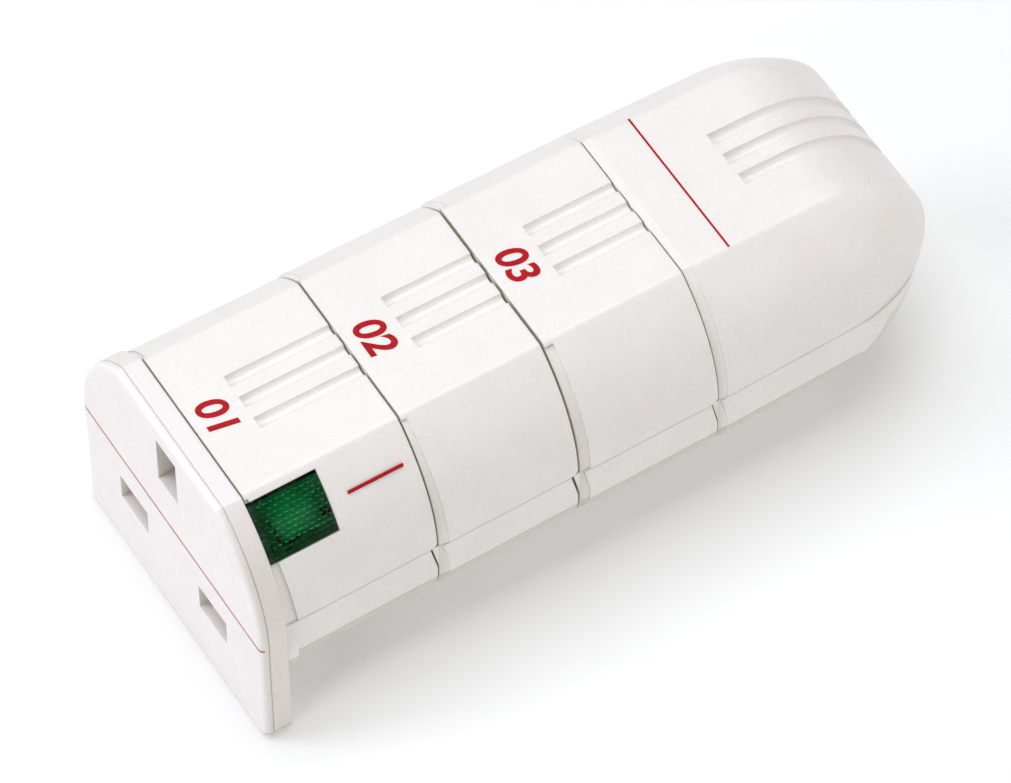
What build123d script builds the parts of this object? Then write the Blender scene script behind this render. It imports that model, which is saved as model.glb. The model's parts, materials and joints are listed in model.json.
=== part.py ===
from build123d import *
import os
from math import acos, asin, atan, cos, degrees, hypot, radians, sin, sqrt, tan

# Stacked travel adapter. X runs from the socket face back to the end cap, Z is up, in millimetres.
# While it is modelled the socket face lies at X = 0. Every piece is written out moved forward by half
# the length, so the origin of the files is the middle of the base.

# Socket: three flat plug pins
live_pitch = 22.2
earth_rise = 22.2
live_drop = 10.1
live_pin_width = 6.35
live_pin_height = 4.0
earth_pin_width = 4.0
earth_pin_height = 8.0
live_pin_reach = 17.7
earth_pin_reach = 22.7
slot_margin = 0.7

# Stack: length of each module, and the seams between neighbours
plate_thickness = 4.25
middle_length = 23.4
blade_module_length = 23.6
seam = 0.3
blade_seam = 0.4
cap_seam = 0.22

# Section of the modules, about the axis of the round shoulders
axis_height = 25.0
shoulder_radius = 24.05
crest_half_width = 13.5
strip_drop = 7.3
belly_radius = 10.8
belly_turn = 8.0
draft = 0.6
crest_radius = 1.1
wall = 2.0

# Face plate
plate_overhang = 1.05
plate_axis_drop = 1.0
plate_foot_radius = 2.0
plate_edge_radius = 0.9
plate_line_back = 1.2
plate_line_depth = 0.15
plate_gap = 0.3
spigot_depth = 2.4
spigot_thickness = 1.5
tab_width = 6.0
tab_inner = 4.5

# End cap
cap_length = 23.4
cap_draft = 1.4
cap_step = 0.2
cap_crest_radius = 1.6
keel_extra = 1.72
keel_ball_forward = 2.9

# Finger flutes
flute_pitch = 4.1
flute_radius = 1.0
flute_start = 8.3
cap_flute_start = 16.0

# Recessed band at each module's front: depth at its front and back edge, width at the crest and sides
socket_band = (0.35, 0.3, 0.8, 2.4)
middle_band = (0.4, 0.12, 0.8, 1.6)
blade_band = (0.4, 0.32, 1.4, 1.65)
cap_band = (0.3, 0.1, 1.4, 1.4)

# Parting plane: fine line, key between the lower shells, and the bead behind the face plate
parting_line = 0.06
key_depth = 1.1
key_drop = 5.0
key_width = 3.0
key_round = 1.3
bead_length = 2.1
bead_rise = 0.85
bead_round = 0.75
bead_sink = 0.3

# Fits
running = 0.05
clearance = 0.3
close = 0.12

# Round pins and their contact tubes
round_pitch = 19.0
thick_pin_radius = 2.4
thin_pin_radius = 2.0
round_pin_reach = 19.0
pin_tip = 1.1
pin_collar_length = 1.48
collar_extra = 1.2
thin_collar = 0.6
tube_wall = 0.65
tube_slit = 0.6
front_wall = 2.0
rear_wall = 3.0
rib_thickness = 1.5
rib_rise = 8.0

# Swivel blades
blade_pitch = 12.7
blade_width = 6.35
blade_thickness = 1.5
blade_reach = 16.5
blade_tip = 1.2
blade_root = 0.2
turret_radius = 4.4
flange_extra = 0.8
flange_thickness = 0.8
leaf_thickness = 0.5
leaf_height = 13.0
rim_height = 2.5
rim_thickness = 1.5

# Lamp window, in degrees about the shoulder axis above the near side's horizontal
window_low_angle = 29.1
window_high_angle = 52.6
window_length = 11.45
lens_flange = 0.8
lamp_radius = 2.0
lamp_length = 9.5

# Inside the socket module
shutter_thickness = 3.8
shutter_travel = 6.0
shutter_margin = 0.65
stem_width = 4.4
stem_rise = 3.8
spring_length = 8.6
spring_radius = 1.6
spring_wire = 0.36
spring_turns = 5
seat_thickness = 1.2
carrier_thickness = 1.8
pocket_wall = 0.5
pocket_length = 6.0
contact_thickness = 0.7
contact_gap = 3.8
contact_flare = 0.6
contact_pinch = 0.25
contact_overrun = 2.3
carrier_stem = 5.5
board_thickness = 1.6
board_rise = 2.8
varistor_radius = 4.0
varistor_thickness = 3.6
lead_radius = 0.3
lead_stand = 0.6
varistor_y = 9.5
varistor_room = 2.9
low_varistor_rise = 0.8
axial_y = 5.6
axial_rise = 2.2
resistor_radius = 1.2
resistor_length = 6.5
fuse_radius = 1.25
fuse_length = 8.0

# Screws
screw_radius = 1.3
screw_head_radius = 2.2
screw_head_height = 1.6
boss_wall = 1.0
screw_y = 17.5
screw_reach = 8.0
screw_sink = 1.6
driver_slot = 0.6
rib_inset = 2.0

# Worked out from the sizes above
top_height = axis_height + sqrt(shoulder_radius ** 2 - crest_half_width ** 2)
band_top = top_height - crest_radius / 2
strip_low = axis_height - strip_drop
plate_radius = shoulder_radius + plate_overhang
plate_axis_height = axis_height - plate_axis_drop
cap_radius = shoulder_radius - cap_step
cap_top_height = axis_height + sqrt(cap_radius ** 2 - (crest_half_width - cap_step) ** 2)
live_height = axis_height - live_drop
earth_height = live_height + earth_rise
board_front = earth_pin_reach + contact_thickness
board_low = axis_height + board_rise
socket_front = plate_thickness
socket_back = board_front + board_thickness + close + pin_collar_length + rear_wall
middle_front = socket_back + seam
middle_back = socket_back + middle_length
blade_front = middle_back + blade_seam
blade_back = middle_back + blade_module_length
cap_front = blade_back + cap_seam
cap_turn_x = blade_back + cap_length
cap_inset = (cap_turn_x - cap_front) * tan(radians(cap_draft))
cap_ball_radius = cap_radius - cap_inset
cap_nose_radius = cap_top_height - cap_inset - axis_height
keel_ball_radius = cap_ball_radius + keel_extra
total_length = cap_turn_x + cap_nose_radius
shutter_front = plate_thickness + seam
shutter_back = shutter_front + shutter_thickness
shutter_half = live_pitch / 2 + live_pin_width / 2 + slot_margin + shutter_margin
shutter_low = live_height - live_pin_height / 2 - slot_margin - shutter_margin
shutter_top = live_height + live_pin_height / 2 + slot_margin + shutter_margin
seat_low = shutter_top + stem_rise + spring_length
carrier_front = shutter_back + clearance
carrier_back = carrier_front + carrier_thickness
contact_front = carrier_front + clearance
contact_half = (contact_gap + contact_thickness) / 2 + contact_pinch
live_back = live_pin_reach + contact_overrun
socket_screw_x = board_front - screw_head_radius - boss_wall - clearance
varistor_z = top_height - wall - varistor_room - varistor_radius
low_varistor_z = board_low + low_varistor_rise
axial_z = board_low + axial_rise
flange_front = blade_back - rear_wall - seam / 2 - flange_thickness
lamp_seat_radius = shoulder_radius - wall - close - lens_flange - clearance - lamp_radius
lamp_angle = (window_low_angle + window_high_angle) / 2
lamp_y = -lamp_seat_radius * cos(radians(lamp_angle))
lamp_z = axis_height + lamp_seat_radius * sin(radians(lamp_angle))
big = 3 * total_length


def block(x_low, x_high, y_low, y_high, z_low, z_high):
    """Box between two corners."""
    box = Box(x_high - x_low, y_high - y_low, z_high - z_low)
    return Pos((x_low + x_high) / 2, (y_low + y_high) / 2, (z_low + z_high) / 2) * box


def rod(x_low, x_high, y, z, radius):
    """Round bar along X."""
    return Pos((x_low + x_high) / 2, y, z) * Rot(0, 90, 0) * Cylinder(radius, x_high - x_low)


def post(x, y, z_low, z_high, radius):
    """Round bar along Z."""
    return Pos(x, y, (z_low + z_high) / 2) * Cylinder(radius, z_high - z_low)


def side_prism(points, y_low, y_high):
    """Outline given as (x, z) points, extruded between two Y values."""
    outline = make_face(Polyline([(x, y_low, z) for x, z in points], close=True))
    return extrude(outline, amount=y_high - y_low, dir=(0, 1, 0))


def belly_centre(radius):
    """Centre of the round belly on the far side, as (y, z), for shoulders of a given radius."""
    turn = radians(belly_turn)
    return radius - belly_radius * cos(turn), strip_low + belly_radius * sin(turn)


def section(x, radius, top, inset=0.0):
    """Closed outline of a module at x: flat top, round shoulders, short upright strip, round belly."""
    r = radius - inset
    z_top = top - inset
    rise = z_top - axis_height
    crest_y = sqrt(r * r - rise * rise)
    half_angle = asin(rise / r) / 2
    arc_mid = (r * cos(half_angle), axis_height + r * sin(half_angle))
    belly_y, belly_z = belly_centre(radius)
    belly = belly_radius - inset
    start = acos((r - belly_y) / belly)
    middle = (start + radians(90)) / 2
    strip_z = belly_z - belly * sin(start)
    belly_mid = (belly_y + belly * cos(middle), belly_z - belly * sin(middle))
    floor = belly_z - belly
    edges = [Line((x, -crest_y, z_top), (x, crest_y, z_top)),
             Line((x, belly_y, floor), (x, -belly_y, floor))]
    for side in (-1, 1):
        edges.append(ThreePointArc((x, side * crest_y, z_top), (x, side * arc_mid[0], arc_mid[1]),
                                   (x, side * r, axis_height)))
        edges.append(Line((x, side * r, axis_height), (x, side * r, strip_z)))
        edges.append(ThreePointArc((x, side * r, strip_z), (x, side * belly_mid[0], belly_mid[1]),
                                   (x, side * belly_y, floor)))
    return make_face(edges)


def slab(x_low, x_high, inset=0.0, radius=shoulder_radius, top=top_height):
    """Straight length of a module's section."""
    return extrude(section(x_low, radius, top, inset), amount=x_high - x_low, dir=(1, 0, 0))


def drafted(x_low, x_high, inset=0.0, radius=shoulder_radius, top=top_height, angle=draft):
    """Length of a module that gets smaller towards its back."""
    return extrude(section(x_low, radius, top, inset), amount=x_high - x_low, dir=(1, 0, 0), taper=angle)


def above(shape):
    """Part of a shape over the parting plane."""
    return shape & block(-big, big, -big, big, axis_height, axis_height + big)


def below(shape):
    """Part of a shape under the parting plane."""
    return shape & block(-big, big, -big, big, axis_height - big, axis_height)


def mirrored(shape):
    """The shape with its copy on the other side of the middle plane."""
    return shape + mirror(shape, Plane.XZ)


def outside(x_low, x_high, depth, radius=shoulder_radius, top=top_height, angle=draft):
    """All that lies further out than a module's form set in by depth."""
    room = block(x_low, x_high, -shoulder_radius - wall, shoulder_radius + wall, 0, top_height + wall)
    return room - drafted(x_low, x_high, depth, radius, top, angle)


def crest_rounded(form, crest_z, radius):
    """Round the crest edges, where the flat top meets the shoulders."""
    crests = [edge for edge in form.edges() if edge.center().Z > crest_z and abs((edge % 0.5).X) > 0.9]
    return fillet(crests, radius=radius)


def both_sides(y_inner, maker):
    """A cutter made for the far side, with its copy on the near side."""
    return mirrored(maker(y_inner, shoulder_radius + wall))


def key_notch(x_back):
    """Sloping notch in a lower shell's back edge, at both sides, under the parting plane."""
    points = [(x_back - key_depth, axis_height + wall), (x_back - key_depth, axis_height),
              (x_back, axis_height - key_drop), (x_back + wall, axis_height - key_drop),
              (x_back + wall, axis_height + wall)]
    return both_sides(shoulder_radius - key_width, lambda low, high: side_prism(points, low, high))


def key_tongue(x_back, x_front, band, radius=shoulder_radius, top=top_height):
    """Tongue on the next lower shell that fills the notch in front of it."""
    gap = x_front - x_back
    x_end = x_front + front_wall
    points = [(x_front - key_depth, axis_height), (x_end, axis_height),
              (x_end, axis_height - key_drop), (x_front, axis_height - key_drop)]
    y_inner = shoulder_radius - key_width + gap
    room = both_sides(y_inner, lambda low, high: side_prism(points, low, high))
    return room & band_floor(x_front, band, radius, top)


def key_corner(x_back):
    """Cutter that rounds an upper shell's lower back corner at both sides."""
    def corner(low, high):
        z_centre = axis_height + key_round
        roller = Pos(x_back - key_round, (low + high) / 2, z_centre) * Rot(90, 0, 0)
        square = block(x_back - key_round, x_back + wall, low, high, axis_height - wall, z_centre)
        return square - roller * Cylinder(key_round, high - low)
    return both_sides(shoulder_radius - key_width, corner)


def band_floor(x_front, band, radius=shoulder_radius, top=top_height):
    """Form that a module's front band is cut down to: set in at its front, less so at its back."""
    front_depth, back_depth, _, side_width = band
    x_low = x_front - key_depth
    x_high = x_front + 2 * side_width
    rise = (front_depth - back_depth) * (x_high - x_low) / (key_depth + side_width)
    return extrude(section(x_low, radius, top, front_depth), amount=x_high - x_low, dir=(1, 0, 0),
                   taper=-degrees(atan(rise / (x_high - x_low))))


def upper_band(x_front, band, z_high=band_top, radius=shoulder_radius, top=top_height):
    """Cutter for the recessed band at an upper shell's front, from the parting plane up to a height."""
    _, _, crest_width, side_width = band
    points = [(x_front - wall, axis_height), (x_front + side_width, axis_height),
              (x_front + crest_width, z_high), (x_front - wall, z_high)]
    prism = side_prism(points, -shoulder_radius - wall, shoulder_radius + wall)
    return prism - band_floor(x_front, band, radius, top)


def lower_band(x_front, band, radius=shoulder_radius, top=top_height):
    """Cutter for the band at a lower shell's front, its back edge sloping like the key."""
    side_width = band[3]
    points = [(x_front - wall, axis_height), (x_front - key_depth + side_width, axis_height),
              (x_front + side_width, axis_height - key_drop), (x_front + side_width, -wall),
              (x_front - wall, -wall)]
    prism = side_prism(points, -shoulder_radius - wall, shoulder_radius + wall)
    return prism - band_floor(x_front, band, radius, top)


def front_bead(x_front):
    """Round-edged bead under the socket module's front, growing out of its sides below the parting plane."""
    x_end = x_front + bead_length
    flange = slab(x_front, x_end, -bead_rise)
    flange = fillet(flange.faces().sort_by(Axis.X)[-1].edges(), radius=bead_round)
    flange -= slab(x_front - wall, x_end + wall, wall / 2)
    y_top = shoulder_radius - bead_sink
    y_full = shoulder_radius + bead_rise
    z_full = axis_height - key_drop
    lean = make_face(Polyline([(x_front, -y_top, axis_height), (x_front, y_top, axis_height),
                               (x_front, y_full, z_full), (x_front, y_full, -wall),
                               (x_front, -y_full, -wall), (x_front, -y_full, z_full)], close=True))
    slope = side_prism([(x_front, -wall), (x_end, -wall), (x_end, z_full),
                        (x_end - key_depth, axis_height), (x_front, axis_height)], -y_full, y_full)
    return flange & extrude(lean, amount=bead_length, dir=(1, 0, 0)) & slope


def flutes(x_start, x_back):
    """Three finger flutes along a module's top, open at its back."""
    return [rod(x_start, x_back + wall, side * flute_pitch, top_height, flute_radius) for side in (-1, 0, 1)]


def screw_seat(x, y):
    """Pieces of a screw joint: upper boss, its pilot hole, lower boss, its through hole and head recess."""
    belly_y, belly_z = belly_centre(shoulder_radius)
    reach = max(abs(y) - belly_y, 0)
    floor = belly_z - sqrt(belly_radius ** 2 - reach ** 2)
    head_low = floor + screw_sink
    head_top = head_low + screw_head_height
    upper = post(x, y, axis_height, top_height, screw_radius + boss_wall)
    pilot = post(x, y, axis_height - wall, axis_height + screw_reach + clearance, screw_radius)
    lower = post(x, y, floor, axis_height, screw_head_radius + boss_wall)
    through = post(x, y, 0, axis_height + wall, screw_radius + close)
    recess = post(x, y, 0, head_top, screw_head_radius + close)
    screw = post(x, y, head_low, head_top, screw_head_radius)
    screw += post(x, y, head_top, axis_height + screw_reach, screw_radius)
    slot = block(x - screw_head_radius, x + screw_head_radius, y - driver_slot / 2, y + driver_slot / 2,
                 head_low, head_low + driver_slot)
    return upper, pilot, lower, through + recess, screw - slot


def module(x_front, x_back, walled_front, screws):
    """Upper and lower shell of a straight module, still without their front and seam details."""
    form = crest_rounded(drafted(x_front, x_back), top_height - wall, crest_radius)
    inner_front = x_front + front_wall if walled_front else x_front - wall
    start = x_front if walled_front else x_front - wall
    room = drafted(start, x_back, wall) & block(inner_front, x_back - rear_wall, -big, big, 0, big)
    shell = form - room
    upper = above(shell)
    lower = below(shell)
    for seat in screws:
        upper += above(form) & seat[0]
        upper -= seat[1]
        lower += below(form) & seat[2]
        lower -= seat[3]
    for flute in flutes(x_front + flute_start, x_back):
        upper -= flute
    upper -= key_corner(x_back)
    lower -= key_notch(x_back)
    line_room = outside(x_front, x_back, parting_line)
    lower -= line_room & block(x_front, x_back, -big, big, axis_height - parting_line, axis_height)
    return upper, lower


def pin_holes(x_low, x_high, radius):
    """Pair of round holes at the round pins' places."""
    return mirrored(rod(x_low, x_high, round_pitch / 2, axis_height, radius))


def round_pin(x_inner, x_out, radius):
    """Far-side round plug pin with a domed tip."""
    shank = rod(x_inner, x_out, round_pitch / 2, axis_height, radius)
    return fillet(shank.edges().sort_by(Axis.X)[-1], radius=pin_tip)


def contact_tube(x_low, x_high, bore):
    """Slit brass sleeve that a round pin slides into."""
    tube = rod(x_low, x_high, round_pitch / 2, axis_height, bore + tube_wall)
    tube -= rod(x_low - wall, x_high + wall, round_pitch / 2, axis_height, bore)
    y = round_pitch / 2
    return tube - block(x_low - wall, x_high + wall, y - tube_slit / 2, y + tube_slit / 2,
                        axis_height, axis_height + 2 * bore)


def tube_ribs(x_front, x_back, bore):
    """Two cross ribs in a module that clamp its contact tubes at the parting plane."""
    ribs = []
    for x in (x_front + front_wall + rib_inset, x_back - rear_wall - rib_inset - rib_thickness):
        rib = drafted(x_front, x_back, wall / 2) & block(x, x + rib_thickness, -big, big,
                                                         0, axis_height + rib_rise)
        ribs.append(rib - pin_holes(x - wall, x + rib_thickness + wall, bore + tube_wall))
    return ribs[0] + ribs[1]


def plate_face(x, inset=0.0):
    """Outline of the face plate: flat top, round shoulders, straight sides down to a square foot."""
    r = plate_radius - inset
    z_top = top_height - inset
    rise = z_top - plate_axis_height
    crest_y = sqrt(r * r - rise * rise)
    half_angle = asin(rise / r) / 2
    arc_mid = (r * cos(half_angle), plate_axis_height + r * sin(half_angle))
    foot = plate_foot_radius
    corner = foot * (1 - sin(radians(45)))
    edges = [Line((x, -crest_y, z_top), (x, crest_y, z_top)),
             Line((x, foot - r, inset), (x, r - foot, inset))]
    for side in (-1, 1):
        edges.append(ThreePointArc((x, side * crest_y, z_top), (x, side * arc_mid[0], arc_mid[1]),
                                   (x, side * r, plate_axis_height)))
        edges.append(Line((x, side * r, plate_axis_height), (x, side * r, inset + foot)))
        edges.append(ThreePointArc((x, side * r, inset + foot), (x, side * (r - corner), inset + corner),
                                   (x, side * (r - foot), inset)))
    return make_face(edges)


def make_face_plate():
    """Face plate with its slots, and behind it the spigot tabs, shutter rails and spring seat."""
    plate = extrude(plate_face(0), amount=plate_thickness, dir=(1, 0, 0))
    front = plate.faces().sort_by(Axis.X)[0]
    plate = fillet(front.edges(), radius=plate_edge_radius)
    line_x = plate_line_back
    line = block(line_x, line_x + plate_line_depth, -big, big, -big, big)
    line -= extrude(plate_face(line_x - wall, plate_line_depth), amount=2 * wall, dir=(1, 0, 0))
    plate -= line
    ring = slab(plate_thickness, plate_thickness + spigot_depth, wall + close)
    ring -= slab(plate_thickness, plate_thickness + spigot_depth, wall + close + spigot_thickness)
    x_tab = plate_thickness + spigot_depth
    plate += ring & block(0, x_tab, -big, big, axis_height + wall, axis_height + wall + tab_width)
    plate += ring & mirrored(block(0, x_tab, tab_inner, tab_inner + tab_width, axis_height, big))
    rail_y = shutter_half + clearance
    rail = block(0, shutter_back, rail_y, rail_y + spigot_thickness,
                 shutter_low, shutter_top + shutter_travel)
    plate += slab(plate_thickness, shutter_back, wall + clearance) & mirrored(rail)
    plate += block(plate_thickness, shutter_back, -spring_radius - seam, spring_radius + seam,
                   seat_low, seat_low + seat_thickness)
    live_y = live_pitch / 2
    plate -= mirrored(slot_hole(live_y, live_height, live_pin_width, live_pin_height))
    plate -= slot_hole(0, earth_height, earth_pin_width, earth_pin_height)
    return plate


def slot_hole(y, z, width, height):
    """Cutter for a flat pin's slot, with a margin all round the pin."""
    half_y = width / 2 + slot_margin
    half_z = height / 2 + slot_margin
    return block(-wall, 2 * plate_thickness, y - half_y, y + half_y, z - half_z, z + half_z)


def make_shutter():
    """Bar over the live and neutral slots, ramped so that the pins lift it, with its spring stem."""
    bar = block(shutter_front, shutter_back, -shutter_half, shutter_half, shutter_low, shutter_top)
    ramp = shutter_thickness - shutter_margin
    points = [(shutter_front, shutter_low), (shutter_front + ramp, shutter_low),
              (shutter_front, shutter_low + ramp)]
    bar -= side_prism(points, -shutter_half, shutter_half)
    stem = block(shutter_front, shutter_back, -stem_width / 2, stem_width / 2,
                 shutter_top, shutter_top + stem_rise)
    return bar + stem


def make_shutter_spring():
    """Coil spring between the stem and the seat on the plate."""
    x = (shutter_front + shutter_back) / 2
    radius = spring_radius - spring_wire / 2
    height = spring_length - spring_wire
    path = Helix(pitch=height / spring_turns, height=height, radius=radius)
    wire = sweep(Plane(origin=path @ 0, z_dir=path % 0) * Circle(spring_wire / 2), path=path)
    return Pos(x, 0, shutter_top + stem_rise + spring_wire / 2) * wire


def cavity_slab(x_low, x_high):
    """Slice of the socket module's inside, with a little clearance to its walls."""
    room = drafted(socket_front - wall, x_high, wall + clearance)
    return room & block(x_low, x_high, -big, big, 0, big)


def pocket(y, z, half_y, half_z):
    """Square-walled pocket behind the carrier that holds one contact."""
    reach_y = half_y + pocket_wall
    reach_z = half_z + pocket_wall
    outer = block(carrier_back, carrier_back + pocket_length, y - reach_y, y + reach_y,
                  z - reach_z, z + reach_z)
    return outer - pocket_hole(y, z, half_y, half_z)


def pocket_hole(y, z, half_y, half_z):
    """Clear way through the carrier for one contact."""
    return block(carrier_front - wall, carrier_back + 2 * pocket_length, y - half_y, y + half_y,
                 z - half_z, z + half_z)


def make_contact_carrier():
    """T-shaped moulding that closes the shutter's track and carries the three socket contacts."""
    outline = block(carrier_front, carrier_back, -big, big, 0, shutter_top + stem_rise)
    outline += block(carrier_front, carrier_back, -carrier_stem, carrier_stem, live_height, big)
    carrier = cavity_slab(carrier_front, carrier_back) & outline
    live_y = live_pitch / 2
    leaf_room = contact_half + contact_thickness / 2 + contact_flare
    live_half_y = live_pin_width / 2 + close
    earth_half_z = earth_pin_height / 2 + close
    for y in (-live_y, live_y):
        carrier += pocket(y, live_height, live_half_y, leaf_room)
        carrier -= pocket_hole(y, live_height, live_half_y, leaf_room)
    carrier += pocket(0, earth_height, leaf_room, earth_half_z)
    return carrier - pocket_hole(0, earth_height, leaf_room, earth_half_z)


def clip(length, width):
    """Sprung clip open at x = 0: two leaves that pinch a pin, flared at the mouth, joined at the back."""
    back = length - contact_thickness / 2
    mouth = contact_flare + contact_thickness / 2
    leaf = [(contact_thickness / 2, contact_half + contact_flare), (mouth, contact_half),
            (2 * mouth + contact_flare, contact_half - contact_pinch), (back, contact_half)]
    path = Polyline(leaf + [(x, -y) for x, y in reversed(leaf)])
    strip = trace(path, line_width=contact_thickness)
    return Pos(0, 0, -width / 2) * extrude(strip, amount=width)


def live_clip(side):
    """Live or neutral contact with the strap that joins it to its round pin."""
    y = side * live_pitch / 2
    leaves = clip(live_back - contact_front, live_pin_width)
    body = Pos(contact_front, y, live_height) * Rot(90, 0, 0) * leaves
    y_pin = side * round_pitch / 2
    strap = block(live_back - contact_thickness, live_back, y_pin - thick_pin_radius,
                  y_pin + thick_pin_radius, live_height, axis_height + thick_pin_radius)
    return body + strap


def make_earth_contact():
    """Earth contact, its back against the circuit board."""
    leaves = clip(board_front - contact_front, earth_pin_height - 2 * seam)
    return Pos(contact_front, 0, earth_height) * leaves


def lead(y, z, x_low):
    """Wire lead that runs back to the circuit board."""
    return rod(x_low, board_front, y, z, lead_radius)


def make_varistors():
    """Three varistor discs on their leads in front of the board."""
    discs = []
    for y, z in ((-varistor_y, varistor_z), (varistor_y, varistor_z), (0, low_varistor_z)):
        x_back = board_front - lead_stand
        disc = rod(x_back - varistor_thickness, x_back, y, z, varistor_radius)
        disc = fillet(disc.edges().filter_by(GeomType.CIRCLE), radius=varistor_thickness / 4)
        for side in (-1, 1):
            disc += lead(y + side * varistor_radius / 2, z, x_back)
        discs.append(disc)
    return discs


def axial_part(y, z, radius, length):
    """Small cylinder that stands off the board on one stiff lead."""
    x_back = board_front - lead_stand
    body = rod(x_back - length, x_back, y, z, radius)
    return fillet(body.edges().filter_by(GeomType.CIRCLE), radius=radius / 4) + lead(y, z, x_back)


def make_neon_lamp():
    """Small gas lamp behind the lens, on two leads to the board."""
    x_low = shutter_front + clearance
    bulb = rod(x_low, x_low + lamp_length, lamp_y, lamp_z, lamp_radius)
    bulb = fillet(bulb.edges().filter_by(GeomType.CIRCLE).sort_by(Axis.X)[0], radius=lamp_radius * 0.8)
    for side in (-1, 1):
        bulb += lead(lamp_y, lamp_z + side * lamp_radius / 2, x_low + lamp_length)
    return bulb


def sector(x_low, x_high, r_in, r_out, low, high):
    """Curved tile about the shoulder axis, between two angles above the near side's horizontal."""
    def point(radius, angle):
        return (x_low, -radius * cos(radians(angle)), axis_height + radius * sin(radians(angle)))
    middle = (low + high) / 2
    edges = [ThreePointArc(point(r_out, low), point(r_out, middle), point(r_out, high)),
             Line(point(r_out, high), point(r_in, high)),
             ThreePointArc(point(r_in, high), point(r_in, middle), point(r_in, low)),
             Line(point(r_in, low), point(r_out, low))]
    return extrude(make_face(edges), amount=x_high - x_low, dir=(1, 0, 0))


def make_lamp_lens():
    """Lens that fills the window flush, with a flange behind it."""
    slack = degrees(close / shoulder_radius)
    x_back = socket_front + window_length
    x_low = socket_front + plate_gap
    lens = sector(x_low, x_back - close, shoulder_radius - wall - close, shoulder_radius,
                  window_low_angle + slack, window_high_angle - slack)
    lens &= drafted(socket_front, x_back, 0)
    spread = degrees(lens_flange / shoulder_radius)
    flange = sector(x_low, x_back + lens_flange, shoulder_radius - wall - close - lens_flange,
                    shoulder_radius - wall - close, window_low_angle - spread, window_high_angle + spread)
    return lens + flange


def make_socket_shells():
    """Shells of the socket module: the plate closes their front, and the round pins leave at the back."""
    seats = [screw_seat(socket_screw_x, side * screw_y) for side in (-1, 1)]
    upper, lower = module(socket_front, socket_back, False, seats)
    upper -= upper_band(socket_front, socket_band)
    upper -= block(0, socket_front + plate_gap, -big, big, axis_height, big)
    upper -= sector(socket_front - wall, socket_front + window_length, shoulder_radius - 2 * wall,
                    shoulder_radius + wall, window_low_angle, window_high_angle)
    lower += front_bead(socket_front)
    holes = pin_holes(socket_back - rear_wall - wall, socket_back + wall, thick_pin_radius + running)
    screws = [seat[4] for seat in seats]
    return upper - holes, lower - holes, screws


def make_middle_module():
    """Second module: takes the thick pins, passes them on as thin pins."""
    seats = [screw_seat((middle_front + middle_back) / 2, side * screw_y) for side in (-1, 1)]
    upper, lower = module(middle_front, middle_back, True, seats)
    ribs = tube_ribs(middle_front, middle_back, thick_pin_radius + running)
    upper = upper + above(ribs) - upper_band(middle_front, middle_band)
    lower = lower + below(ribs) - lower_band(middle_front, middle_band)
    lower += key_tongue(socket_back, middle_front, middle_band)
    front_holes = pin_holes(middle_front - wall, middle_front + front_wall, thick_pin_radius + clearance)
    rear_holes = pin_holes(middle_back - rear_wall, middle_back + wall, thin_pin_radius + running)
    holes = front_holes + rear_holes
    return upper - holes, lower - holes, [seat[4] for seat in seats]


def make_blade_module():
    """Third module: takes the thin pins and carries the two swivel blades."""
    seats = [screw_seat((blade_front + blade_back) / 2, side * screw_y) for side in (-1, 1)]
    upper, lower = module(blade_front, blade_back, True, seats)
    ribs = tube_ribs(blade_front, blade_back, thin_pin_radius + running)
    rim_back = blade_back + rim_height
    rim_inset = wall + clearance
    rim = drafted(blade_back, rim_back, rim_inset, cap_radius, cap_top_height)
    rim -= drafted(blade_back, rim_back, rim_inset + rim_thickness, cap_radius, cap_top_height)
    upper = upper + above(ribs) + above(rim) - upper_band(blade_front, blade_band)
    lower = lower + below(ribs) + below(rim) - lower_band(blade_front, blade_band)
    lower += key_tongue(middle_back, blade_front, blade_band)
    front_holes = pin_holes(blade_front - wall, blade_front + front_wall, thin_pin_radius + clearance)
    hub_holes = mirrored(rod(blade_back - rear_wall, blade_back + wall, blade_pitch / 2, axis_height,
                             turret_radius + running))
    holes = front_holes + hub_holes
    return upper - holes, lower - holes, [seat[4] for seat in seats]


def swivel_blade(side):
    """Flat blade with clipped tip corners, and the turret that carries it."""
    y = side * blade_pitch / 2
    half = blade_width / 2
    x_root = flange_front + blade_root
    x_tip = blade_back + blade_reach
    outline = [(x_root, axis_height - half), (x_tip - blade_tip, axis_height - half),
               (x_tip, axis_height - half + blade_tip), (x_tip, axis_height + half - blade_tip),
               (x_tip - blade_tip, axis_height + half), (x_root, axis_height + half)]
    blade = side_prism(outline, y - blade_thickness / 2, y + blade_thickness / 2)
    turret = rod(flange_front + flange_thickness, blade_back, y, axis_height, turret_radius)
    turret += rod(flange_front, flange_front + flange_thickness, y, axis_height, turret_radius + flange_extra)
    return blade, turret - blade


def cap_form(inset):
    """Closed form of the end cap set in by a depth: drafted length, then a ball cut by the nose."""
    length = drafted(cap_front, cap_turn_x, inset, cap_radius, cap_top_height, cap_draft)
    nose_radius = cap_nose_radius - inset
    centre = Pos(cap_turn_x, 0, axis_height)
    nose = centre * Rot(90, 0, 0) * Cylinder(nose_radius, 2 * cap_radius + wall)
    dome = nose & (centre * Sphere(cap_ball_radius - inset))
    dome = above(dome) & block(cap_turn_x, big, -big, big, 0, big)
    keel = extrude(section(cap_turn_x, cap_radius, cap_top_height, inset + cap_inset),
                   amount=cap_ball_radius, dir=(1, 0, 0))
    ball = Pos(cap_turn_x - keel_ball_forward, 0, axis_height) * Sphere(keel_ball_radius - inset)
    keel = below(keel & nose & ball)
    form = length + dome + keel
    if inset > 0:
        return form
    crest_z = cap_top_height - cap_inset - wall / 2
    crest_y = sqrt(cap_ball_radius ** 2 - cap_nose_radius ** 2)
    crests = [edge for edge in form.edges() if on_cap_crest(edge, crest_y, crest_z)]
    return fillet(crests, radius=cap_crest_radius)


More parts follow.
